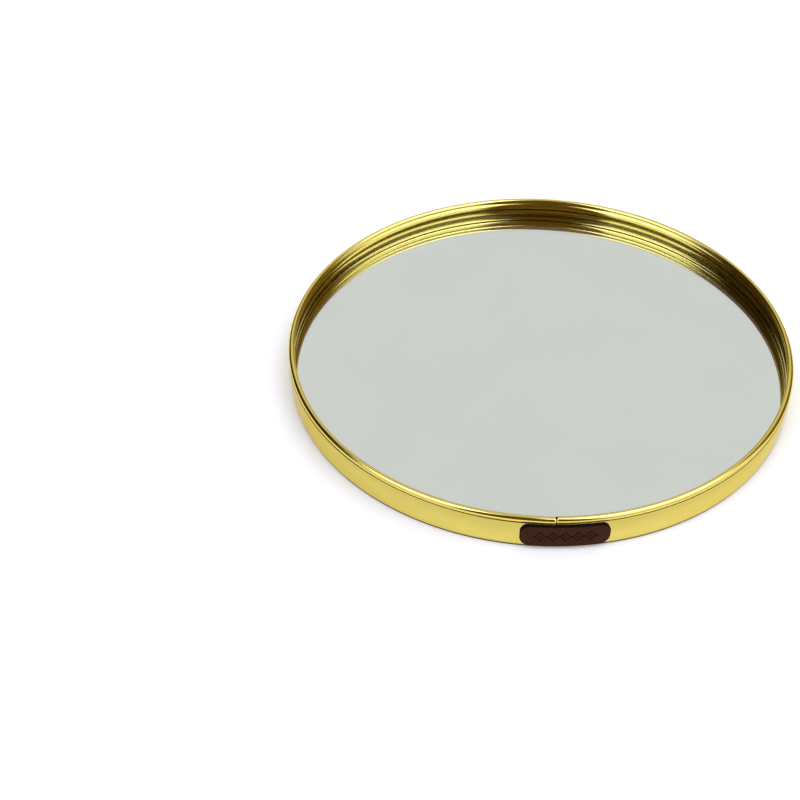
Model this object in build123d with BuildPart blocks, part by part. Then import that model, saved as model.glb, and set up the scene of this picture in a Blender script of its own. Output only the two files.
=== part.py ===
from build123d import *
import os
from math import cos, degrees, radians, sin, sqrt, tan

# A round mirror tray: a glass mirror on a board, held by a bent metal profile with a seam at the front.
# The origin is the centre of the underside, +Z is up, and the label is at the front, at -Y.

os.makedirs("parts", exist_ok=True)

# Overall sizes
tray_diameter = 300.0
tray_height = 21.0

# Felt under the board and the rim
felt_thickness = 1.0
felt_setback = 0.4

# Rim profile, outside and bead
wall_thickness = 1.5
foot_edge_radius = 0.4
bead_diameter = 3.8
groove_depth = 0.6
wall_edge_radius = 0.15

# Rim profile, inside band, slot, lip and flange
band_reach = 2.6
band_sagitta = 0.35
slot_rise = 3.0
slot_width = 1.1
slot_depth = 0.8
lip_reach = 2.9
lip_nose_height = 1.0
flange_reach = 7.0
flange_thickness = 1.2

# Seam between the two ends of the rim, left of the label's middle
seam_gap = 0.15
seam_offset = 5.0

# Base board
board_thickness = 5.0
board_edge_gap = 0.4
board_step_gap = 0.3

# Mirror
pad_thickness = 0.8
silvering_thickness = 0.1
glass_thickness = 3.0
glass_edge_gap = 0.4
glass_arris = 0.4
lip_clearance = 0.1

# Foam pads between the board and the mirror
pad_length = 40.0
pad_width = 18.0
pad_edge_margin = 18.0
pad_ring_gap = 22.0
outer_pad_count = 8
inner_pad_count = 4

# Splice strip and its screws
strip_length = 44.0
strip_thickness = 1.5
strip_wall_gap = 0.1
strip_end_gap = 0.5
screw_spacing = 20.0
screw_shaft_diameter = 2.5
screw_head_diameter = 4.6
screw_cone_angle = 90.0
screw_length = 5.0
screw_head_sink = 0.05
screw_hole_gap = 0.15
screw_thread_gap = 0.05
screw_tip_gap = 0.6
screw_socket_width = 1.5
screw_socket_depth = 0.8

# Label and its tape
label_length = 47.5
label_height = 15.0
label_thickness = 1.2
label_corner_radius = 6.0
label_foot_gap = 1.3
largest_corner_share = 0.48
tape_thickness = 0.15
tape_setback = 1.0
bond_gap = 0.1

# How far every cutter runs past what it cuts
overrun = 1.0


# Places worked out from the sizes
full_turn = 360.0
outer_radius = tray_diameter / 2
rim_bottom = felt_thickness
flange_top = rim_bottom + flange_thickness
board_top = rim_bottom + board_thickness
pads_top = board_top + pad_thickness
silvering_top = pads_top + silvering_thickness
glass_top = silvering_top + glass_thickness
lip_bottom = glass_top + lip_clearance

pocket_radius = outer_radius - wall_thickness
flange_radius = outer_radius - flange_reach
lip_radius = outer_radius - lip_reach
board_radius = pocket_radius - board_edge_gap
board_step_radius = flange_radius - board_step_gap
glass_radius = pocket_radius - glass_edge_gap
outer_pad_radius = glass_radius - pad_edge_margin - pad_length / 2
inner_pad_radius = outer_pad_radius - pad_length - pad_ring_gap

bead_radius = bead_diameter / 2
bead_middle_radius = outer_radius - bead_radius
bead_middle_z = tray_height - bead_radius
groove_radius = outer_radius - groove_depth
groove_z = bead_middle_z - sqrt(bead_radius**2 - (groove_radius - bead_middle_radius) ** 2)
wall_top = groove_z - wall_edge_radius
band_radius = outer_radius - band_reach
band_top = bead_middle_z - sqrt(bead_radius**2 - (bead_middle_radius - band_radius) ** 2)
slot_z = lip_bottom + slot_rise
slot_top = slot_z + slot_width / 2
slot_bottom = slot_z - slot_width / 2


def turned_plane(angle):
    """A plane through the tray's axis: its x runs outwards at the angle, its y is up."""
    return Plane(
        origin=(0, 0, 0),
        x_dir=(cos(radians(angle)), sin(radians(angle)), 0),
        z_dir=(sin(radians(angle)), -cos(radians(angle)), 0),
    )


def wall_plane(angle, height):
    """A plane that touches the rim's outer wall at the angle and height, facing outwards."""
    return Plane(
        origin=(outer_radius * cos(radians(angle)), outer_radius * sin(radians(angle)), height),
        x_dir=(-sin(radians(angle)), cos(radians(angle)), 0),
        z_dir=(cos(radians(angle)), sin(radians(angle)), 0),
    )


def turn_for(arc_length, radius):
    """The angle in degrees that an arc of this length takes at this radius."""
    return degrees(arc_length / radius)


# Places of the seam, the strip, the screws and the label
front_angle = -90.0
seam_angle = front_angle - turn_for(seam_offset, outer_radius)
strip_outer_radius = pocket_radius - strip_wall_gap
strip_inner_radius = strip_outer_radius - strip_thickness
strip_turn = turn_for(strip_length, strip_outer_radius)
strip_bottom = flange_top + strip_end_gap
strip_top = pads_top - strip_end_gap
screw_z = (strip_bottom + strip_top) / 2
screw_turn = turn_for(screw_spacing / 2, outer_radius)
screw_planes = [wall_plane(seam_angle + side * screw_turn, screw_z) for side in (-1, 1)]
screw_tip_radius = outer_radius - screw_head_sink - screw_length
cone_slope = tan(radians(screw_cone_angle / 2))
head_height = (screw_head_diameter - screw_shaft_diameter) / 2 / cone_slope
hole_radius = screw_shaft_diameter / 2 + screw_hole_gap
countersink_radius = screw_head_diameter / 2 + screw_hole_gap + overrun * cone_slope
tape_inner_radius = outer_radius + bond_gap
tape_outer_radius = tape_inner_radius + tape_thickness
label_inner_radius = tape_outer_radius + bond_gap
label_outer_radius = label_inner_radius + label_thickness
label_z = rim_bottom + label_foot_gap + label_height / 2

# Rim: the profile is drawn at the seam and carried round the axis, stopping short of a full turn.
# Two countersunk holes go through the wall, one on each side of the seam.
with BuildPart() as rim_profile:
    with BuildSketch(turned_plane(seam_angle + turn_for(seam_gap / 2, outer_radius))) as rim_section:
        with BuildLine():
            Polyline(
                (pocket_radius, flange_top),
                (flange_radius, flange_top),
                (flange_radius, rim_bottom),
                (outer_radius - foot_edge_radius, rim_bottom),
            )
            TangentArc(
                (outer_radius - foot_edge_radius, rim_bottom),
                (outer_radius, rim_bottom + foot_edge_radius),
                tangent=(1, 0),
            )
            Line((outer_radius, rim_bottom + foot_edge_radius), (outer_radius, wall_top))
            TangentArc(
                (outer_radius, wall_top),
                (outer_radius - wall_edge_radius, groove_z),
                tangent=(0, 1),
            )
            Line((outer_radius - wall_edge_radius, groove_z), (groove_radius, groove_z))
            ThreePointArc(
                (groove_radius, groove_z),
                (bead_middle_radius, tray_height),
                (band_radius, band_top),
            )
            SagittaArc((band_radius, band_top), (band_radius, slot_top), band_sagitta)
            ThreePointArc(
                (band_radius, slot_top),
                (band_radius + slot_depth, slot_z),
                (band_radius, slot_bottom),
            )
            TangentArc(
                (lip_radius, lip_bottom + lip_nose_height),
                (band_radius, slot_bottom),
                tangent=(0, 1),
            )
            Polyline(
                (lip_radius, lip_bottom + lip_nose_height),
                (lip_radius, lip_bottom),
                (pocket_radius, lip_bottom),
                (pocket_radius, flange_top),
            )
        make_face()
    revolve(axis=Axis.Z, revolution_arc=full_turn - turn_for(seam_gap, outer_radius))
    with Locations(*[plane.offset(overrun) for plane in screw_planes]):
        Cone(
            hole_radius,
            countersink_radius,
            (countersink_radius - hole_radius) / cone_slope,
            align=(Align.CENTER, Align.CENTER, Align.MAX),
            mode=Mode.SUBTRACT,
        )
        Cylinder(
            hole_radius,
            wall_thickness + 2 * overrun,
            align=(Align.CENTER, Align.CENTER, Align.MAX),
            mode=Mode.SUBTRACT,
        )
rim_profile.part.label = "rim_profile"
export_step(rim_profile.part, "parts/rim_profile.step")

# Base board: a disc whose lower edge is stepped to sit on the flange, with its underside flush with
# the rim's. A curved pocket at the front leaves room for the splice strip and the screw tips.
with BuildPart() as base_board:
    with BuildSketch(Plane.XY.offset(rim_bottom)):
        Circle(board_step_radius)
    extrude(amount=flange_thickness)
    with BuildSketch(Plane.XY.offset(flange_top)):
        Circle(board_radius)
    extrude(amount=board_top - flange_top)
    pocket_turn = strip_turn + turn_for(2 * strip_end_gap, strip_outer_radius)
    pocket_floor_radius = screw_tip_radius - screw_tip_gap
    with BuildSketch(turned_plane(seam_angle - pocket_turn / 2)):
        with Locations((pocket_floor_radius, flange_top)):
            Rectangle(
                outer_radius - pocket_floor_radius,
                board_thickness,
                align=(Align.MIN, Align.MIN),
            )
    revolve(axis=Axis.Z, revolution_arc=pocket_turn, mode=Mode.SUBTRACT)
base_board.part.label = "base_board"
export_step(base_board.part, "parts/base_board.step")

# Felt: one disc under the board and the rim
with BuildPart() as base_felt:
    with BuildSketch():
        Circle(outer_radius - felt_setback)
    extrude(amount=felt_thickness)
base_felt.part.label = "base_felt"
export_step(base_felt.part, "parts/base_felt.step")

# Mirror tape pads: two rings of foam pads between the board and the mirror
with BuildPart() as mirror_tape_pads:
    with BuildSketch(Plane.XY.offset(board_top)):
        with PolarLocations(outer_pad_radius, outer_pad_count):
            Rectangle(pad_length, pad_width)
        with PolarLocations(inner_pad_radius, inner_pad_count):
            Rectangle(pad_length, pad_width)
    extrude(amount=pad_thickness)
mirror_tape_pads.part.label = "mirror_tape_pads"
export_step(mirror_tape_pads.part, "parts/mirror_tape_pads.step")

# Mirror silvering: the reflecting coat and its backing paint, up to the glass's ground edge
with BuildPart() as mirror_silvering:
    with BuildSketch(Plane.XY.offset(pads_top)):
        Circle(glass_radius - glass_arris)
    extrude(amount=silvering_thickness)
mirror_silvering.part.label = "mirror_silvering"
export_step(mirror_silvering.part, "parts/mirror_silvering.step")

# Mirror glass: a clear disc with both edges ground off, held down by the rim's lip
with BuildPart() as mirror_glass:
    with BuildSketch(Plane.XY.offset(silvering_top)):
        Circle(glass_radius)
    extrude(amount=glass_thickness)
    chamfer(mirror_glass.edges().filter_by(GeomType.CIRCLE), glass_arris)
mirror_glass.part.label = "mirror_glass"
export_step(mirror_glass.part, "parts/mirror_glass.step")

# Splice strip: bent to the wall's inner radius, across the seam, with a threaded hole for each screw
with BuildPart() as splice_strip:
    with BuildSketch(turned_plane(seam_angle - strip_turn / 2)):
        with Locations((strip_inner_radius, strip_bottom)):
            Rectangle(strip_thickness, strip_top - strip_bottom, align=(Align.MIN, Align.MIN))
    revolve(axis=Axis.Z, revolution_arc=strip_turn)
    with Locations(*screw_planes):
        Hole(screw_shaft_diameter / 2 + screw_thread_gap, depth=screw_length + screw_tip_gap)
splice_strip.part.label = "splice_strip"
export_step(splice_strip.part, "parts/splice_strip.step")

# Splice screws: countersunk, with a hexagon socket, from outside through the wall into the strip
with BuildPart() as splice_screws:
    for plane in screw_planes:
        head_plane = plane.offset(-screw_head_sink)
        with Locations(head_plane):
            Cone(
                screw_shaft_diameter / 2,
                screw_head_diameter / 2,
                head_height,
                align=(Align.CENTER, Align.CENTER, Align.MAX),
            )
            Cylinder(
                screw_shaft_diameter / 2,
                screw_length,
                align=(Align.CENTER, Align.CENTER, Align.MAX),
            )
        with BuildSketch(head_plane):
            RegularPolygon(screw_socket_width / 2, 6, major_radius=False)
        extrude(amount=-screw_socket_depth, mode=Mode.SUBTRACT)
splice_screws.part.label = "splice_screws"
export_step(splice_screws.part, "parts/splice_screws.step")


def wrapped_patch(setback, inner_radius, patch_radius):
    """The label's outline, set back all round, between two radii: cut straight through, then trimmed
    to the curve, as a flexible patch lies on the wall."""
    height = label_height - 2 * setback
    half_turn = radians(turn_for(label_length / 2 - setback, outer_radius))
    corner_radius = min(label_corner_radius, label_height * largest_corner_share) - setback
    back_depth = inner_radius * (1 - cos(half_turn)) + overrun
    with BuildPart() as patch:
        with BuildSketch(wall_plane(front_angle, label_z).offset(-back_depth)):
            RectangleRounded(2 * inner_radius * sin(half_turn), height, corner_radius)
        extrude(amount=back_depth + patch_radius - outer_radius + overrun)
        with BuildSketch(Plane.XY.offset(label_z - height / 2 - overrun)):
            Circle(patch_radius)
            Circle(inner_radius, mode=Mode.SUBTRACT)
        extrude(amount=height + 2 * overrun, mode=Mode.INTERSECT)
    return patch


# Label tape: double-sided, a little smaller than the label all round
label_tape = wrapped_patch(tape_setback, tape_inner_radius, tape_outer_radius)
label_tape.part.label = "label_tape"
export_step(label_tape.part, "parts/label_tape.step")

# Label: a leather-like patch with round corners over the seam and the screw heads, with no lettering
label_patch = wrapped_patch(0, label_inner_radius, label_outer_radius)
label_patch.part.label = "label_patch"
export_step(label_patch.part, "parts/label_patch.step")
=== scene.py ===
from math import acos, atan, cos, radians, sin, sqrt

import bmesh
import bpy
import numpy as np
from mathutils import Matrix, Vector


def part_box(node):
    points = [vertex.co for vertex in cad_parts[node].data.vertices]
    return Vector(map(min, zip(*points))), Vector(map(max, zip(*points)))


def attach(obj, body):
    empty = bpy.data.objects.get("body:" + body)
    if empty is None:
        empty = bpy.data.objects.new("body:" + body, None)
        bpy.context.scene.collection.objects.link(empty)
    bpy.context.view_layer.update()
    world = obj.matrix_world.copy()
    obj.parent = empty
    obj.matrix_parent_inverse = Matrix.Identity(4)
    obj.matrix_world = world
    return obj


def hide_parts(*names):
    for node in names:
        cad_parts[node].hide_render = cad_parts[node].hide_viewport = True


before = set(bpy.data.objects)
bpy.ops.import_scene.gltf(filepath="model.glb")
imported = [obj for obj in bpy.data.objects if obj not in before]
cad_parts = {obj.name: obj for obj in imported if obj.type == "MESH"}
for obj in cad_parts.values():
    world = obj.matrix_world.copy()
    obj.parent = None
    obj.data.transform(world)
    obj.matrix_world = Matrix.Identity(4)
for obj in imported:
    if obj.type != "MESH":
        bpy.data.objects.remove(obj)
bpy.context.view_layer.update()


# Base felt: a disc of dark pressed felt, glued under the board and the rim's flange.
# Its cut edge shows as a thin dark line under the rim all the way round.

mm = 0.001
full_turn = 2 * np.pi
felt_angles = 720
felt_rings = 64
felt_ring_crowding = 0.8
felt_edge_steps = 4
felt_edge_radius = 0.3 * mm
felt_wave_height = 0.04 * mm
felt_fray_depth = 0.12 * mm
felt_fray_squeeze = 4
felt_dark = (0.009, 0.007, 0.005)
felt_pale = (0.034, 0.026, 0.020)
same_place = 0.0001 * mm


class Wire:
    """One output of a node tree. Arithmetic on it adds Math nodes to the same tree."""

    def __init__(self, tree, socket=None):
        self.tree = tree
        self.socket = socket

    def add(self, kind, settings=None, sockets=None, output=0):
        """A new node, one of whose outputs comes back: its settings are set first, then a value or a wire
        goes into each socket."""
        node = self.tree.nodes.new(kind)
        for key, value in (settings or {}).items():
            if key == "stops":
                ramp = node.color_ramp.elements
                while len(ramp) < len(value):
                    ramp.new(1.0)
                for stop, (place, colour) in zip(ramp, value):
                    stop.position = place
                    stop.color = (*colour, 1.0)
            else:
                setattr(node, key, value)
        for key, value in (sockets or {}).items():
            if isinstance(value, Wire):
                self.tree.links.new(value.socket, node.inputs[key])
            else:
                node.inputs[key].default_value = value
        return Wire(self.tree, node.outputs[output] if len(node.outputs) else None)

    def math(self, operation, *terms):
        """A Math node over these values and wires."""
        return self.add("ShaderNodeMath", {"operation": operation}, dict(enumerate(terms)))

    def __add__(self, other):
        return self.math("ADD", self, other)

    def __radd__(self, other):
        return self.math("ADD", other, self)

    def __sub__(self, other):
        return self.math("SUBTRACT", self, other)

    def __rsub__(self, other):
        return self.math("SUBTRACT", other, self)

    def __mul__(self, other):
        return self.math("MULTIPLY", self, other)

    def __rmul__(self, other):
        return self.math("MULTIPLY", other, self)

    def step(self, low, high):
        """Nought up to low and one from high, with a soft change between."""
        sockets = {"Value": self, "From Min": low, "From Max": high}
        return self.add("ShaderNodeMapRange", {"interpolation_type": "SMOOTHSTEP"}, sockets)

    def blend(self, first, second):
        """The first colour where this is nought, and the second where it is one. The Mix node takes its
        colours in sockets 6 and 7, and gives the mixed one as output 2."""
        whole = [colour if isinstance(colour, Wire) else (*colour, 1.0) for colour in (first, second)]
        sockets = {"Factor": self, 6: whole[0], 7: whole[1]}
        return self.add("ShaderNodeMix", {"data_type": "RGBA"}, sockets, output=2)

    def noise(self, scale, detail=2.0, roughness=0.5, stretch=(1.0, 1.0, 1.0)):
        """Noise over this vector: scale lumps to the metre, times the stretch along each axis."""
        spread = self.add("ShaderNodeMapping", {}, {"Vector": self, "Scale": stretch})
        sockets = {"Vector": spread, "Scale": scale, "Detail": detail, "Roughness": roughness}
        return self.add("ShaderNodeTexNoise", {}, sockets)

    def bump(self, distance, strength=1.0, under=None):
        """Normals of a surface with this height, laid over another bump where one is given."""
        sockets = {"Height": self, "Distance": distance, "Strength": strength}
        if under:
            sockets["Normal"] = under
        return self.add("ShaderNodeBump", {}, sockets)


def new_material(name):
    """An empty material, with the start of its tree."""
    material = bpy.data.materials.new(name)
    material.use_nodes = True
    material.node_tree.nodes.clear()
    return material, Wire(material.node_tree)


def surface(start, sockets):
    """A Principled shader on the material's output."""
    shader = start.add("ShaderNodeBsdfPrincipled", {}, sockets)
    start.add("ShaderNodeOutputMaterial", {}, {"Surface": shader})


def object_place(start):
    """The place in the tray's own frame, in metres: the Object output, which is number 3."""
    return start.add("ShaderNodeTexCoord", output=3)


def grid_faces(rows, columns, rows_meet=False, columns_meet=False):
    """Quads over a grid of points: each joins a point to the next in its row and its column. Where rows or
    columns meet, the last is joined to the first."""
    index = np.arange(rows * columns).reshape(rows, columns)
    if rows_meet:
        index = np.vstack([index, index[:1]])
    if columns_meet:
        index = np.hstack([index, index[:, :1]])
    corners = [index[:-1, :-1], index[1:, :-1], index[1:, 1:], index[:-1, 1:]]
    return np.stack(corners, axis=-1).reshape(-1, 4)


def new_piece(name, points, faces, flat_faces=(), uv=None):
    """An object at the origin over these points: smooth faces, then flat ones. A map of the surface, where
    one is given, goes to the corners of the faces."""
    mesh = bpy.data.meshes.new(name)
    mesh.from_pydata(points.reshape(-1, 3).tolist(), [], faces.tolist() + list(flat_faces))
    smooth = np.arange(len(mesh.polygons)) < len(faces)
    mesh.polygons.foreach_set("use_smooth", smooth)
    if uv is not None:
        corner = np.zeros(len(mesh.loops), np.int32)
        mesh.loops.foreach_get("vertex_index", corner)
        layer = mesh.uv_layers.new(name="along_surface")
        layer.data.foreach_set("uv", uv.reshape(-1, 2)[corner].astype(np.float32).ravel())
    piece = bpy.data.objects.new(name, mesh)
    bpy.context.scene.collection.objects.link(piece)
    return piece


def join_doubles(piece):
    """Merges points in one place, as at a pole, and drops the faces that close up."""
    shape = bmesh.new()
    shape.from_mesh(piece.data)
    bmesh.ops.remove_doubles(shape, verts=shape.verts, dist=same_place)
    shape.to_mesh(piece.data)
    shape.free()


def ripples(x, y, count, shortest, longest, seed):
    """A sum of sine waves, each with its own direction, length and phase, between -1 and 1."""
    dice = np.random.default_rng(seed)
    total = np.zeros(np.broadcast(x, y).shape)
    for _ in range(count):
        way = dice.uniform(0, full_turn)
        length = dice.uniform(shortest, longest)
        phase = dice.uniform(0, full_turn)
        total += np.sin((x * cos(way) + y * sin(way)) * full_turn / length + phase)
    return total / count


def felt_disc():
    """A closed disc carried round the axis: out along the underside, up the round edge and back along the
    top, in rings at a power of even shares. The underside waves up a little. The edge is frayed inwards
    by waves that change more quickly up the edge than along it."""
    low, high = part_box("base_felt")
    radius = high.x
    turn = np.linspace(0, full_turn, felt_angles, endpoint=False)[:, None]
    inner = radius - felt_edge_radius
    flat = inner * np.linspace(0, 1, felt_rings) ** felt_ring_crowding
    corner = np.linspace(0, np.pi / 2, felt_edge_steps + 1)[1:]
    r = np.concatenate([flat, inner + felt_edge_radius * np.sin(corner)])
    z = np.concatenate([flat * 0, felt_edge_radius * (1 - np.cos(corner))])
    r = np.concatenate([r, r[::-1]])[None, :]
    z = np.concatenate([low.z + z, (high.z - z)[::-1]])[None, :]
    x, y = r * np.cos(turn), r * np.sin(turn)
    wave = (1 + ripples(x, y, count=24, shortest=3 * mm, longest=11 * mm, seed=3)) / 2
    underside = np.arange(r.size) < felt_rings
    z = z + np.where(underside, wave * felt_wave_height, 0)
    along, up = turn * radius, z * felt_fray_squeeze
    fray = (1 + ripples(along, up, count=16, shortest=0.9 * mm, longest=4 * mm, seed=5)) / 2
    at_edge = np.clip((r - inner) / felt_edge_radius, 0, 1)
    r = r - felt_fray_depth * fray * at_edge
    points = np.stack(np.broadcast_arrays(r * np.cos(turn), r * np.sin(turn), z), axis=-1)
    piece = new_piece("felt_disc", points, grid_faces(*points.shape[:2], rows_meet=True))
    join_doubles(piece)
    return piece


def felt_material():
    """Matted fibres: pale and dark hairs in a fine noise, in shades that drift with a wide one."""
    material, start = new_material("dark_pressed_felt")
    place = object_place(start)
    hairs = place.noise(2600, detail=6.0, roughness=0.75)
    clouds = place.noise(140, detail=3.0)
    shade = hairs.step(0.35, 0.75) * (clouds * 0.7 + 0.3)
    surface(start, {
        "Base Color": shade.blend(felt_dark, felt_pale),
        "Roughness": hairs * 0.15 + 0.85,
        "Sheen Weight": 0.10,
        "Sheen Roughness": 0.6,
        "Normal": hairs.bump(0.25 * mm, 0.9),
    })
    return material


felt = felt_disc()
felt.data.materials.append(felt_material())
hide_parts("base_felt")
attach(felt, "root")


# Rim: one length of extruded aluminium profile, bent into a ring, polished and gold anodised. It has a
# flat outer wall, a round bead on top with a groove under it, and inside a shallow hollow band, a narrow
# slot and a lip over the glass. Its ends meet in a butt seam at the front, a hair out of line.

rim_angles = 840
foot_edge_radius = 0.4 * mm
wall_thickness = 1.5 * mm
groove_depth = 0.6 * mm
wall_edge_radius = 0.15 * mm
bead_radius = 1.9 * mm
band_reach = 2.6 * mm
band_sagitta = 0.35 * mm
slot_rise = 3.0 * mm
slot_width = 1.1 * mm
slot_depth = 0.8 * mm
lip_reach = 2.9 * mm
lip_nose_height = 1.0 * mm
lip_clearance = 0.1 * mm
flange_reach = 7.0 * mm
flange_thickness = 1.2 * mm
edge_softness = 0.12 * mm
edge_steps = 4
bead_steps = 40
band_steps = 14
slot_steps = 14
lip_steps = 8
seam_gap = 0.05 * mm
seam_offset = 5.0 * mm
seam_step_drop = 0.28 * mm
seam_step_out = 0.12 * mm
seam_step_reach = 9.0 * mm
front_angle = -np.pi / 2
gold = (0.805, 0.685, 0.158)
gold_deep = (0.745, 0.605, 0.112)
# Painted shade: the brown that the foot, the groove and the slot take for the shade that falls in them.
gold_painted_shade = (0.130, 0.074, 0.003)
gold_grazing = (0.96, 0.84, 0.45)
seam_dark = (0.030, 0.018, 0.006)
painted_shade_reach = 0.65 * mm
groove_shade_radius = 0.15 * mm
slot_shade_radius = 0.42 * slot_width


def arc(start, end, leaving, steps):
    """Points on the arc that leaves start in a given direction and runs to end, without its first point:
    part of the way along, the chord from start has turned by that part of the whole chord's angle."""
    start, end, leaving = np.array(start), np.array(end), np.array(leaving, float)
    chord = end - start
    leaving /= np.linalg.norm(leaving)
    angle = np.arctan2(leaving[0] * chord[1] - leaving[1] * chord[0], leaving @ chord)
    turned = np.linspace(0, 1, steps + 1)[1:, None] * angle
    across = np.array([-leaving[1], leaving[0]])
    way = np.cos(turned) * leaving + np.sin(turned) * across
    return start + np.linalg.norm(chord) * np.sin(turned) / np.sin(angle) * way


def bowed(start, end, sagitta, steps):
    """Points on the arc from start to end that stands off its chord by the sagitta, to the left."""
    chord = np.array(end) - np.array(start)
    lean = 2 * atan(2 * sagitta / np.linalg.norm(chord))
    leaving = (
        chord[0] * cos(lean) - chord[1] * sin(lean),
        chord[0] * sin(lean) + chord[1] * cos(lean),
    )
    return arc(start, end, leaving, steps)


def soften(points, sharp, reach, steps=3, most=0.45):
    """A closed outline with its sharp corners rounded: each is cut back by reach, or by the given most of
    a short edge, and becomes a curve that is drawn towards it from the two cut points. Along the curve
    the first cut point has a share of (1 - t) squared, the second of t squared, and the corner the rest."""
    back, on = np.roll(points, 1, axis=0) - points, np.roll(points, -1, axis=0) - points
    back_cut = np.minimum(most, reach / np.linalg.norm(back, axis=1))[:, None]
    on_cut = np.minimum(most, reach / np.linalg.norm(on, axis=1))[:, None]
    from_point, to_point = (points + back * back_cut)[:, None], (points + on * on_cut)[:, None]
    corner = points[:, None]
    t = np.linspace(0, 1, steps + 1)[:, None]
    curves = (1 - t) ** 2 * from_point + 2 * t * (1 - t) * corner + t**2 * to_point
    is_sharp = sharp[:, None]
    kept = is_sharp | (np.arange(steps + 1) == 0)
    return np.where(is_sharp[:, :, None], curves, corner)[kept]


def rim_outline(outer, bottom, top, lip_bottom):
    """The profile's outline as (radius, height) points, once round: up the wall, over the bead, down the
    band, round the slot and the lip and back through the pocket and the flange. The bead is a circle, so
    the groove outside and the band inside meet it where their radii cut that circle. The lip's curve is
    walked backwards, without the corner of the slot. With the outline comes how much painted shade, with
    a lower gloss, each point takes: most at the foot, in the groove and in the slot, where shade falls. A
    point on the wall marks where that ends above the foot."""
    pocket, flange, lip = outer - wall_thickness, outer - flange_reach, outer - lip_reach
    middle, bead_z = outer - bead_radius, top - bead_radius
    groove_radius, band = outer - groove_depth, outer - band_reach
    below_outside = sqrt(bead_radius**2 - (groove_radius - middle) ** 2)
    below_inside = sqrt(bead_radius**2 - (middle - band) ** 2)
    groove = (groove_radius, bead_z - below_outside)
    band_top = (band, bead_z - below_inside)
    slot_top = (band, lip_bottom + slot_rise + slot_width / 2)
    slot_bottom = (band, lip_bottom + slot_rise - slot_width / 2)
    foot = (outer - foot_edge_radius, bottom)
    wall_edge = (outer - wall_edge_radius, groove[1])
    wall_foot = (outer, bottom + foot_edge_radius + painted_shade_reach)
    wall_top = (outer, groove[1] - wall_edge_radius)
    lip_nose = (lip, lip_bottom + lip_nose_height)
    pocket_foot, flange_edge = (pocket, bottom + flange_thickness), (flange, bottom + flange_thickness)
    start_angle = -acos((groove_radius - middle) / bead_radius)
    end_angle = np.pi + acos((middle - band) / bead_radius)
    around = np.linspace(start_angle, end_angle, bead_steps)[1:-1]
    bead = np.stack([middle + bead_radius * np.cos(around), bead_z + bead_radius * np.sin(around)], -1)
    lip_curve = arc(lip_nose, slot_bottom, (0, 1), lip_steps)
    runs = [
        [foot],
        arc(foot, (outer, bottom + foot_edge_radius), (1, 0), edge_steps),
        [wall_foot, wall_top],
        arc(wall_top, wall_edge, (0, 1), edge_steps),
        [groove],
        bead,
        [band_top],
        bowed(band_top, slot_top, band_sagitta, band_steps),
        bowed(slot_top, slot_bottom, slot_depth, slot_steps),
        lip_curve[-2::-1],
        [lip_nose, (lip, lip_bottom), (pocket, lip_bottom), pocket_foot, flange_edge, (flange, bottom)],
    ]
    points = np.concatenate([np.array(run) for run in runs])
    corners = [groove, band_top, slot_top, slot_bottom, (lip, lip_bottom), (pocket, lip_bottom)]
    corners += [pocket_foot, flange_edge, (flange, bottom)]
    gaps = np.linalg.norm(points[:, None, :] - np.array(corners)[None, :, :], axis=-1)
    outline = soften(points, gaps.min(axis=1) < same_place, edge_softness)
    slot_middle = (band + slot_depth / 2, lip_bottom + slot_rise)
    hollows = np.array([foot, groove, slot_middle])
    hollow_radii = np.array([foot_edge_radius, groove_shade_radius, slot_shade_radius])
    away = np.linalg.norm(outline[:, None, :] - hollows[None, :, :], axis=-1) - hollow_radii
    return outline, np.clip(1 - away.min(axis=1) / painted_shade_reach, 0, 1)


def keep_value(piece, name, values):
    """Keeps a number for each point of the mesh, for the material to read."""
    layer = piece.data.attributes.new(name, "FLOAT", "POINT")
    layer.data.foreach_set("value", values.astype(np.float32))


def kept_value(start, name):
    """The number that the mesh keeps under this name: output 2 gives it as one value."""
    return start.add("ShaderNodeAttribute", {"attribute_name": name}, output=2)


def rim_ring():
    """The outline carried round the axis from one end of the profile to the other, with flat ends. Near
    the left end the upper part stands out and drops a little: by a bell curve along the profile, and by
    the square of the height."""
    low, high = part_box("rim_profile")
    outer = high.x
    outline, shade_and_dull = rim_outline(outer, low.z, high.z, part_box("mirror_glass")[1].z + lip_clearance)
    seam = front_angle - seam_offset / outer
    half_gap = seam_gap / 2 / outer
    turn = np.linspace(seam + half_gap, seam + full_turn - half_gap, rim_angles)[:, None]
    from_left_end = (turn[-1] - turn) * outer
    fade = np.exp(-((from_left_end / seam_step_reach) ** 2))
    lift = np.clip((outline[:, 1] - low.z) / (high.z - low.z), 0, 1) ** 2
    r = outline[:, 0] + fade * lift * seam_step_out
    z = outline[:, 1] - fade * lift * seam_step_drop
    points = np.stack([r * np.cos(turn), r * np.sin(turn), z], axis=-1)
    along = np.linalg.norm(np.diff(outline, axis=0, prepend=outline[:1]), axis=1).cumsum()
    uv = np.stack(np.broadcast_arrays((turn - seam) * outer, along[None, :]), axis=-1)
    rows, columns = points.shape[:2]
    index = np.arange(rows * columns).reshape(rows, columns)
    ends = [index[0].tolist(), index[-1, ::-1].tolist()]
    piece = new_piece("rim_ring", points, grid_faces(rows, columns, columns_meet=True), ends, uv)
    keep_value(piece, "unpolished", np.tile(shade_and_dull, rows))
    return piece


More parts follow.
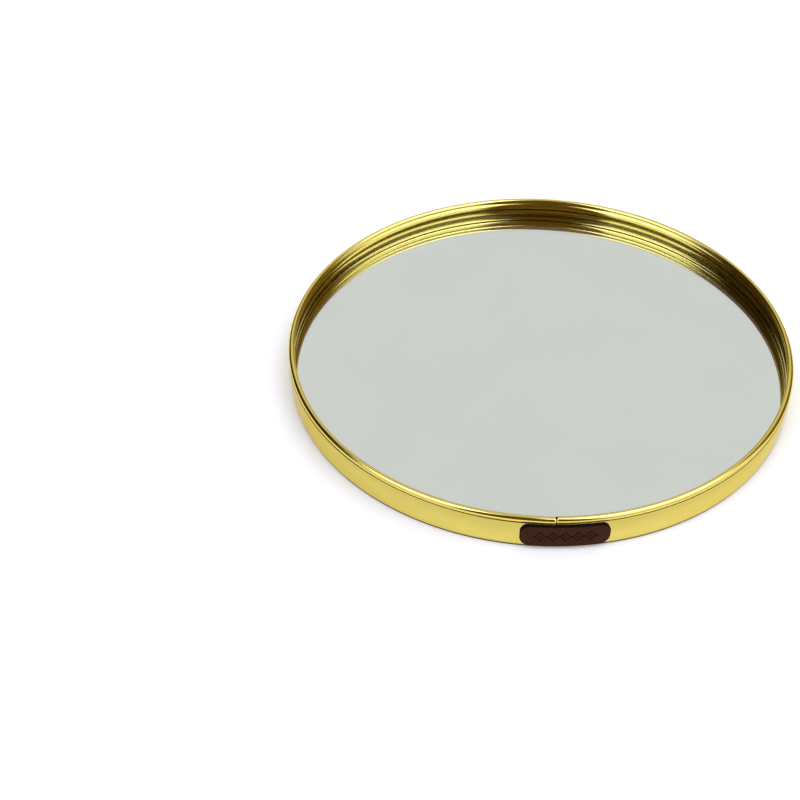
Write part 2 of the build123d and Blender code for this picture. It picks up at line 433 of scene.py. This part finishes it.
def gold_material():
    """Polished metal under a thin clear oxide. Fine draw lines run lengthwise, the dyed colour is faintly
    streaked and soft smears left by the polish vary the gloss. At the foot, in the groove and in the slot
    the metal takes a painted shade of brown and its gloss is lower, and the sawn ends are dark."""
    material, start = new_material("polished_gold_anodising")
    along = start.add("ShaderNodeUVMap", {"uv_map": "along_surface"})
    fine_lines = along.noise(1.0, detail=3.0, roughness=0.6, stretch=(22, 6500, 1))
    wide_lines = along.noise(1.0, stretch=(9, 1300, 1))
    smears = along.noise(1.0, detail=3.0, roughness=0.55, stretch=(60, 260, 1))
    streaks = wide_lines * 0.6 + smears * 0.4
    lines = (fine_lines * 0.35 + wide_lines).bump(0.006 * mm, 0.5)
    profile_length = full_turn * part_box("rim_profile")[1].x
    from_right_end = along.add("ShaderNodeSeparateXYZ", {}, {0: along})
    from_left_end = profile_length - from_right_end
    from_seam = from_right_end.math("MINIMUM", from_right_end, from_left_end)
    shade_and_dull = kept_value(start, "unpolished")
    # Painted shade: brown in the foot, the groove and the slot. The same mask also lowers the gloss.
    dye_and_shade = shade_and_dull.blend(streaks.step(0.3, 0.7).blend(gold_deep, gold), gold_painted_shade)
    surface(start, {
        "Base Color": from_seam.step(0.1 * mm, 0.25 * mm).blend(seam_dark, dye_and_shade),
        "Metallic": 1.0,
        "Roughness": smears * 0.07 + 0.06 + shade_and_dull * 0.15,
        "Specular Tint": (*gold_grazing, 1.0),
        "Coat Weight": 0.45 - shade_and_dull * 0.45,
        "Coat Roughness": 0.04,
        "Coat IOR": 1.55,
        "Normal": smears.bump(0.02 * mm, 0.4, under=lines),
    })
    return material


rim = rim_ring()
rim.data.materials.append(gold_material())
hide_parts("rim_profile")
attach(rim, "root")


# Base board: a disc of raw fibreboard, routed with a step round its lower edge. It sits on the rim's
# flange, keeps the rim round and carries the mirror.

board_pale = (0.42, 0.28, 0.16)
board_dark = (0.27, 0.17, 0.09)


def dress(node, material):
    """Puts the finish on a solid that keeps its own mesh."""
    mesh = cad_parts[node].data
    mesh.materials.clear()
    mesh.materials.append(material)


def board_material():
    """Flecks of pressed fibre, all lying one way, over a cloudy ground."""
    material, start = new_material("raw_fibreboard")
    place = object_place(start)
    flecks = place.noise(1500, detail=5.0, roughness=0.7, stretch=(1.0, 0.45, 1.6))
    clouds = place.noise(60, detail=3.0)
    surface(start, {
        "Base Color": (flecks * 0.75 + clouds * 0.25).step(0.3, 0.7).blend(board_dark, board_pale),
        "Roughness": flecks * 0.2 + 0.7,
        "Normal": flecks.bump(0.08 * mm, 0.6),
    })
    return material


dress("base_board", board_material())


# Splice strip and screws: a bent steel strip behind the seam, with two countersunk screws through the
# rim into it. Both are zinc plated, with a dull, cloudy shine and fine marks from the rolling.

zinc_pale = (0.62, 0.62, 0.60)
zinc_dark = (0.44, 0.45, 0.46)


def zinc_material():
    """Cloudy plating with fine lines along the strip."""
    material, start = new_material("zinc_plated_steel")
    place = object_place(start)
    spangle = place.noise(420, detail=4.0, roughness=0.6)
    lines = place.noise(900, stretch=(0.08, 0.5, 3.0))
    surface(start, {
        "Base Color": spangle.step(0.35, 0.7).blend(zinc_dark, zinc_pale),
        "Metallic": 1.0,
        "Roughness": spangle * 0.2 + 0.25,
        "Normal": lines.bump(0.01 * mm, 0.5),
    })
    return material


zinc = zinc_material()
for node in ("splice_strip", "splice_screws"):
    dress(node, zinc)


# Mirror tape pads: short lengths of white foam tape with adhesive on both faces. They are laid out in
# two rings on the board, and the mirror is pressed down on them.

foam_pale = (0.78, 0.78, 0.75)
foam_shaded = (0.60, 0.60, 0.57)


def foam_material():
    """Small closed cells, darker where they meet."""
    material, start = new_material("white_foam")
    place = object_place(start)
    cells = place.add("ShaderNodeTexVoronoi", {}, {"Vector": place, "Scale": 3200.0})
    surface(start, {
        "Base Color": cells.step(0.1, 0.6).blend(foam_shaded, foam_pale),
        "Roughness": cells * 0.15 + 0.75,
        "Normal": cells.bump(0.1 * mm, 0.7),
    })
    return material


dress("mirror_tape_pads", foam_material())


# Mirror silvering: the reflecting coat on the back of the glass, sealed with paint. It is laid down wet
# over the whole disc, and stays faintly cloudy.

silver = (0.800, 0.830, 0.790)
silver_cloud = (0.785, 0.812, 0.775)


def silver_material():
    """A mirror with clouds that are only just there."""
    material, start = new_material("mirror_silver")
    clouds = object_place(start).noise(18, detail=3.0)
    surface(start, {
        "Base Color": clouds.step(0.35, 0.65).blend(silver_cloud, silver),
        "Metallic": 1.0,
        "Roughness": clouds * 0.01,
    })
    return material


dress("mirror_silvering", silver_material())


# Mirror glass: a clear float-glass disc with ground edges, under the rim's lip. It is bedded in the
# silvering by a hair, so that light meets the silver from inside the glass, as it does in a mirror.

glass_angles = 480
glass_rings = 12
glass_arris = 0.4 * mm
glass_inner_ring = 0.2 * mm
glass_bedding = 0.01 * mm
glass_tint = (0.972, 0.992, 0.976)
glass_ior = 1.52
# Painted shade: dark bronze on the glass's ground edge, standing for the shade in the rim's pocket.
edge_shade_dark = (0.240, 0.150, 0.008)
edge_shade_pale = (0.350, 0.230, 0.016)


def glass_disc():
    """A closed disc carried round the axis: out along the underside, up over the two ground edges and the
    wall between them, and back along the face. A ground edge slopes at 45 degrees, and its rings are
    shares of its width. Rings close to each corner keep the shading of the flat parts flat."""
    low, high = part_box("mirror_glass")
    inner = high.x - glass_arris
    flat = inner * np.linspace(0, 1, glass_rings)
    out = np.array([0.08, 0.92, 1, 1]) * glass_arris
    up = np.array([0.08, 0.92, 1.15, 2]) * glass_arris
    r = np.concatenate([flat[:-1], [inner - glass_inner_ring, inner], inner + out])
    z = np.concatenate([flat[:-1] * 0, [0, 0], up])
    r = np.concatenate([r, r[::-1]])
    z = np.concatenate([low.z - glass_bedding + z, (high.z - z)[::-1]])
    turn = np.linspace(0, full_turn, glass_angles, endpoint=False)[:, None]
    points = np.stack(np.broadcast_arrays(r * np.cos(turn), r * np.sin(turn), z[None, :]), axis=-1)
    piece = new_piece("glass_disc", points, grid_faces(*points.shape[:2], rows_meet=True))
    join_doubles(piece)
    return piece


def glass_material():
    """Clear glass with wiping marks on its faces. The ground edge is a dark bronze metal, painted shade for
    the unlit pocket of the rim round it.
    """
    material, start = new_material("clear_float_glass")
    place = object_place(start)
    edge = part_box("mirror_glass")[1].x
    across = place.add("ShaderNodeVectorMath", {"operation": "MULTIPLY"}, {0: place, 1: (1, 1, 0)})
    from_middle = across.add("ShaderNodeVectorMath", {"operation": "LENGTH"}, {0: across}, output=1)
    ground = from_middle.step(edge - glass_arris * 1.2, edge - glass_arris * 0.8)
    wiping = place.noise(34, detail=4.0, roughness=0.6, stretch=(1.0, 0.4, 1.0))
    marks = wiping.step(0.55, 0.8)
    clear = start.add("ShaderNodeBsdfPrincipled", {}, {
        "Base Color": (*glass_tint, 1.0),
        "IOR": glass_ior,
        "Transmission Weight": 1.0,
        "Roughness": marks * 0.006 + ground * 0.4,
    })
    # Painted shade on the ground edge, where the pocket round it is unlit.
    painted_edge_shade = start.add("ShaderNodeBsdfPrincipled", {}, {
        "Base Color": place.noise(900, detail=3.0).blend(edge_shade_dark, edge_shade_pale),
        "Metallic": 1.0,
        "Roughness": 0.35,
    })
    shader = start.add("ShaderNodeMixShader", {}, {0: ground, 1: clear, 2: painted_edge_shade})
    start.add("ShaderNodeOutputMaterial", {}, {"Surface": shader})
    return material


glass = glass_disc()
glass.data.materials.append(glass_material())
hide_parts("mirror_glass")
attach(glass, "root")


# Label tape: a strip of clear double-sided film, a little smaller than the label. It is bent with the
# label and holds it on the rim's wall.

film_clear = (0.72, 0.70, 0.62)
film_milky = (0.60, 0.58, 0.50)


def film_material():
    """Milky film with fine creases."""
    material, start = new_material("adhesive_film")
    creases = object_place(start).noise(700, detail=4.0, roughness=0.6)
    surface(start, {
        "Base Color": creases.step(0.3, 0.7).blend(film_milky, film_clear),
        "Roughness": creases * 0.3 + 0.35,
        "Normal": creases.bump(0.03 * mm, 0.5),
    })
    return material


dress("label_tape", film_material())


# Label: a patch of dark brown leather-like sheet with round corners and darker, rounded edges, bent round
# the wall over the seam and taped on. A plain row of lozenges and dots is pressed into it.

label_length = 47.5 * mm
label_corner_radius = 6.0 * mm
label_thickness = 1.2 * mm
label_columns = 400
label_rows = 124
label_edge_round = 0.45 * mm
label_inset = 0.02 * mm
label_row_crowding = 0.25
label_column_crowding = 0.1
press_depth = 0.22 * mm
press_softness = 0.18 * mm
lozenge_count = 5
lozenge_spacing = 6.6 * mm
lozenge_half_width = 2.6 * mm
lozenge_half_height = 3.2 * mm
lozenge_line = 0.85 * mm
dot_radius = 0.65 * mm
grain_height = 0.03 * mm
leather_brown = (0.040, 0.0100, 0.0026)
leather_pale = (0.068, 0.0185, 0.0056)
leather_edge = (0.006, 0.0018, 0.0012)


def rounded_box_depth(x, y, half_width, half_height, corner):
    """How far a point lies inside a rounded rectangle: the corner's radius less the distance from the
    smaller rectangle that the corner circles roll on."""
    out_x, out_y = np.abs(x) - half_width + corner, np.abs(y) - half_height + corner
    beyond = np.hypot(np.maximum(out_x, 0), np.maximum(out_y, 0))
    return corner - beyond - np.minimum(np.maximum(out_x, out_y), 0)


def smooth(value):
    """Nought to one with level ends."""
    t = np.clip(value, 0, 1)
    return t * t * (3 - 2 * t)


def pressed_row(x, y):
    """One inside the pressed ornament and nought outside: open lozenges in a row, with a dot in each and
    between each pair. A lozenge's outline is where its two distances, as shares, add up to one."""
    nearest = np.clip(np.round(x / lozenge_spacing), -(lozenge_count // 2), lozenge_count // 2)
    local = x - nearest * lozenge_spacing
    share = np.abs(local) / lozenge_half_width + np.abs(y) / lozenge_half_height
    slant = lozenge_half_width * lozenge_half_height / np.hypot(lozenge_half_width, lozenge_half_height)
    from_line = np.abs(share - 1) * slant - lozenge_line / 2
    between = (np.floor(x / lozenge_spacing) + 0.5) * lozenge_spacing
    reach = (lozenge_count // 2 + 1) * lozenge_spacing
    between_dot = np.where(np.abs(x) < reach, np.hypot(x - between, y), reach) - dot_radius
    middle_dot = np.hypot(local, y) - dot_radius
    nearest_mark = np.minimum(np.minimum(from_line, between_dot), middle_dot)
    return smooth(0.5 - nearest_mark / press_softness)


def crowded(share, amount):
    """Even shares from -1 to 1, drawn towards both ends: a mix of the share and of its sine."""
    return (1 - amount) * share + amount * np.sin(share * np.pi / 2)


def label_grid(half_length, half_height):
    """Places on the label laid flat: x along it, and y up it. Each row is as long as the outline is at its
    height, and both ways the points crowd towards the edges."""
    spread = np.linspace(-1, 1, label_rows)[:, None]
    y = half_height * crowded(spread, label_row_crowding)
    past = np.maximum(np.abs(y) - half_height + label_corner_radius, 0)
    round_part = np.sqrt(np.maximum(label_corner_radius**2 - past**2, 0))
    share = np.linspace(-1, 1, label_columns)[None, :]
    x = (half_length - label_corner_radius + round_part) * crowded(share, label_column_crowding)
    return x, y


def closing_faces(rows, columns):
    """The faces that close a grid whose outline is copied behind it, with the outline's points in turn: a
    quad behind each stretch of the outline, quads between its long sides, and a face at each end."""
    index = np.arange(rows * columns).reshape(rows, columns)
    outline = np.concatenate([index[0, :-1], index[:-1, -1], index[-1, :0:-1], index[:0:-1, 0]])
    copy = index.size + np.arange(len(outline))
    walls = np.stack([outline, copy, np.roll(copy, -1), np.roll(outline, -1)], -1)
    bottom = copy[:columns]
    top = copy[columns + rows - 2:2 * columns + rows - 2][::-1]
    across = np.stack([bottom[:-1], top[:-1], top[1:], bottom[1:]], -1)
    right_end = copy[columns - 1:columns + rows - 1][::-1]
    left_end = np.roll(copy, -1)[2 * columns + rows - 4:][::-1]
    return outline, walls.tolist() + across.tolist() + [right_end.tolist(), left_end.tolist()]


def label_sheet():
    """The label bent round the wall, as a grid that follows its outline. The front is rounded off at the
    edges, pressed in by the ornament and covered in low hills, and walls and a back close it."""
    low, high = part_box("label_patch")
    outer = -low.y
    inner = outer - label_thickness
    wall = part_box("rim_profile")[1].x
    half_height = (high.z - low.z) / 2
    half_length = label_length / 2 / wall * outer
    x, y = label_grid(half_length, half_height)
    depth = rounded_box_depth(x, y, half_length, half_height, label_corner_radius)
    short = np.clip(label_edge_round - depth, 0, label_edge_round)
    edge_drop = label_edge_round - np.sqrt(label_edge_round**2 - short**2)
    press = pressed_row(x, y)
    hills = ripples(x, y, count=40, shortest=0.8 * mm, longest=2.6 * mm, seed=11)
    radius = outer - label_inset - edge_drop - press * press_depth + (hills - 1) * grain_height / 2
    turn = front_angle + x / outer
    height = np.broadcast_to(low.z + half_height + y, turn.shape)
    front = np.stack([radius * np.cos(turn), radius * np.sin(turn), height], -1)
    outline, flat_faces = closing_faces(*turn.shape)
    edge_turn, edge_height = turn.ravel()[outline], height.ravel()[outline]
    back = np.stack([inner * np.cos(edge_turn), inner * np.sin(edge_turn), edge_height], -1)
    points = np.concatenate([front.reshape(-1, 3), back])
    piece = new_piece("leather_label", points, grid_faces(*turn.shape)[:, ::-1], flat_faces)
    keep_value(piece, "pressed", np.append(press, np.zeros(len(back))))
    keep_value(piece, "from_edge", np.append(depth, np.zeros(len(back))))
    return piece


def leather_material():
    """A fine pebbled grain, paler on its tops, with dark edges and a dark pressing that is smoother."""
    material, start = new_material("brown_label_leather")
    place = object_place(start)
    pressed, from_edge = kept_value(start, "pressed"), kept_value(start, "from_edge")
    drift = place.noise(500, detail=3.0, roughness=0.6)
    cells = {"Vector": place, "Scale": 1900.0}
    pebbles = place.add("ShaderNodeTexVoronoi", {"feature": "SMOOTH_F1"}, cells)
    pores = place.noise(5200, detail=3.0, roughness=0.6)
    tops = 1 - pebbles.step(0.1, 0.7)
    grain = tops * 0.75 + pores * 0.25
    pigment = (grain * 0.5 + drift * 0.5).step(0.3, 0.75).blend(leather_brown, leather_pale)
    edge = 1 - (from_edge + (drift - 0.5) * 0.4 * mm).step(0.25 * mm, 0.9 * mm)
    dark = edge.math("MAXIMUM", edge, pressed * 0.85)
    surface(start, {
        "Base Color": dark.blend(pigment, leather_edge),
        "Specular IOR Level": 0.06,
        "Roughness": 0.5 - pressed * 0.12 + pores * 0.12,
        "Normal": grain.bump(0.05 * mm, 0.55),
    })
    return material


label = label_sheet()
label.data.materials.append(leather_material())
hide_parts("label_patch")
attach(label, "root")


# Studio: a plain pale floor that gives off a little light of its own, and a dome of soft light with
# bright panels and brown walls for the rim to reflect. The camera, which comes last, sees a plain pale
# backdrop in place of the dome.

floor_half = 6.0
floor_white = (0.81, 0.815, 0.635)
floor_glow = (0.25, 0.25, 0.25)

floor_corners = floor_half * np.array([(-1, -1, 0), (1, -1, 0), (1, 1, 0), (-1, 1, 0)])
floor = new_piece("studio_floor", floor_corners, np.array([(0, 1, 2, 3)]))
floor_paint, floor_start = new_material("pale_floor")
surface(floor_start, {
    "Base Color": (*floor_white, 1.0),
    "Roughness": 0.9,
    "Emission Color": (*floor_glow, 1.0),
    "Emission Strength": 1.0,
})
floor.data.materials.append(floor_paint)

backdrop = (0.92, 0.92, 0.91)
dome_dark = (0.050, 0.028, 0.009)
dome_front = (0.135, 0.075, 0.020)
dome_brown = (0.20, 0.12, 0.04)
dome_back = (0.780, 0.773, 0.768)
dome_top = (0.32, 0.27, 0.18)
dome_panel = (1.38, 1.40, 1.50)
dome_ceiling = (3.0, 3.05, 5.00)
dome_low_panel = (0.95, 0.80, 0.42)
dome_low_back = (0.50, 0.40, 0.21)


def ring_of_light(start, angle, stops):
    """A colour for each angle round the tray: degrees to the right of the front, nought at the front."""
    places = [((degrees_round + 180) / 360, colour) for degrees_round, colour in stops]
    return start.add("ShaderNodeValToRGB", {"stops": places}, {"Fac": angle * (1 / full_turn) + 0.5})


def studio_dome():
    """The dome's colour by direction: three rings of light, one above the other, and a dim cap overhead,
    with soft changes between them. The lowest ring is dim, with a golden patch on the right. The middle
    one has a bright panel on either side, and the highest a brighter one that is also wider. Dark and
    brown walls stand between them, and the back is pale. The camera sees the backdrop alone."""
    world = bpy.data.worlds.new("studio_dome")
    world.use_nodes = True
    world.node_tree.nodes.clear()
    start = Wire(world.node_tree)
    way = start.add("ShaderNodeSeparateXYZ", {}, {0: start.add("ShaderNodeTexCoord")})
    x, y, z = (Wire(way.tree, output) for output in way.socket.node.outputs)
    angle = x.math("ARCTAN2", x, y * -1)
    height = z.math("ARCSINE", z)
    upper = ring_of_light(start, angle, [
        (-178, dome_back), (-162, dome_back), (-150, dome_dark), (-124, dome_dark),
        (-112, dome_ceiling), (-39, dome_ceiling), (-34, dome_front), (18, dome_front),
        (27, dome_ceiling), (126, dome_ceiling), (146, dome_back), (178, dome_back),
    ])
    middle = ring_of_light(start, angle, [
        (-178, dome_back), (-166, dome_back), (-156, dome_dark), (-104, dome_dark), (-85, dome_front),
        (-79, dome_panel), (-39, dome_panel), (-34, dome_front), (18, dome_front), (27, dome_panel),
        (94, dome_panel), (103, dome_brown), (142, dome_brown), (152, dome_back), (178, dome_back),
    ])
    low = ring_of_light(start, angle, [
        (-178, dome_low_back), (-142, dome_low_back), (-124, dome_dark), (-100, dome_dark),
        (-78, dome_front), (55, dome_front), (84, dome_low_panel), (97, dome_low_panel),
        (108, dome_front), (124, dome_brown), (142, dome_low_back), (178, dome_low_back),
    ])
    walls = height.step(radians(8), radians(17)).blend(low, middle)
    sides = height.step(radians(46), radians(58)).blend(walls, upper)
    light = height.step(radians(76), radians(90)).blend(sides, dome_top)
    lit = start.add("ShaderNodeBackground", {}, {"Color": light, "Strength": 1.0})
    seen = start.add("ShaderNodeBackground", {}, {"Color": (*backdrop, 1.0), "Strength": 1.0})
    is_camera_ray = start.add("ShaderNodeLightPath")
    shader = start.add("ShaderNodeMixShader", {}, {0: is_camera_ray, 1: lit, 2: seen})
    start.add("ShaderNodeOutputWorld", {}, {"Surface": shader})
    bpy.context.scene.world = world


studio_dome()

# The camera looks down at the tray from the front. It is rolled and turned a little, and the middle of
# the tray lies to the right of the middle of its view and above it.

camera_elevation = radians(42.10)
camera_roll = radians(1.071)
camera_turn = radians(-0.4)
camera_distance = 0.7865
camera_aside = 0.08317
camera_down = 0.0231
picture_width = 800
focal_pixels = 1284.5
sensor_width = 36.0

tilt_sine, tilt_cosine = sin(camera_elevation), cos(camera_elevation)
roll_sine, roll_cosine = sin(camera_roll), cos(camera_roll)
right = Vector((roll_cosine, -roll_sine * tilt_sine, -roll_sine * tilt_cosine))
up = Vector((roll_sine, roll_cosine * tilt_sine, roll_cosine * tilt_cosine))
back = Vector((0, -tilt_cosine, tilt_sine))
place = -camera_aside * right - camera_down * up + camera_distance * back
stand = Matrix((right, up, back)).transposed().to_4x4()
stand.translation = place
camera = bpy.data.objects.new("camera", bpy.data.cameras.new("camera"))
camera.data.sensor_width = sensor_width
camera.data.lens = focal_pixels / picture_width * sensor_width
camera.matrix_world = Matrix.Rotation(camera_turn, 4, "Z") @ stand
bpy.context.scene.collection.objects.link(camera)
bpy.context.scene.camera = camera
bpy.context.scene.view_settings.view_transform = "Standard"
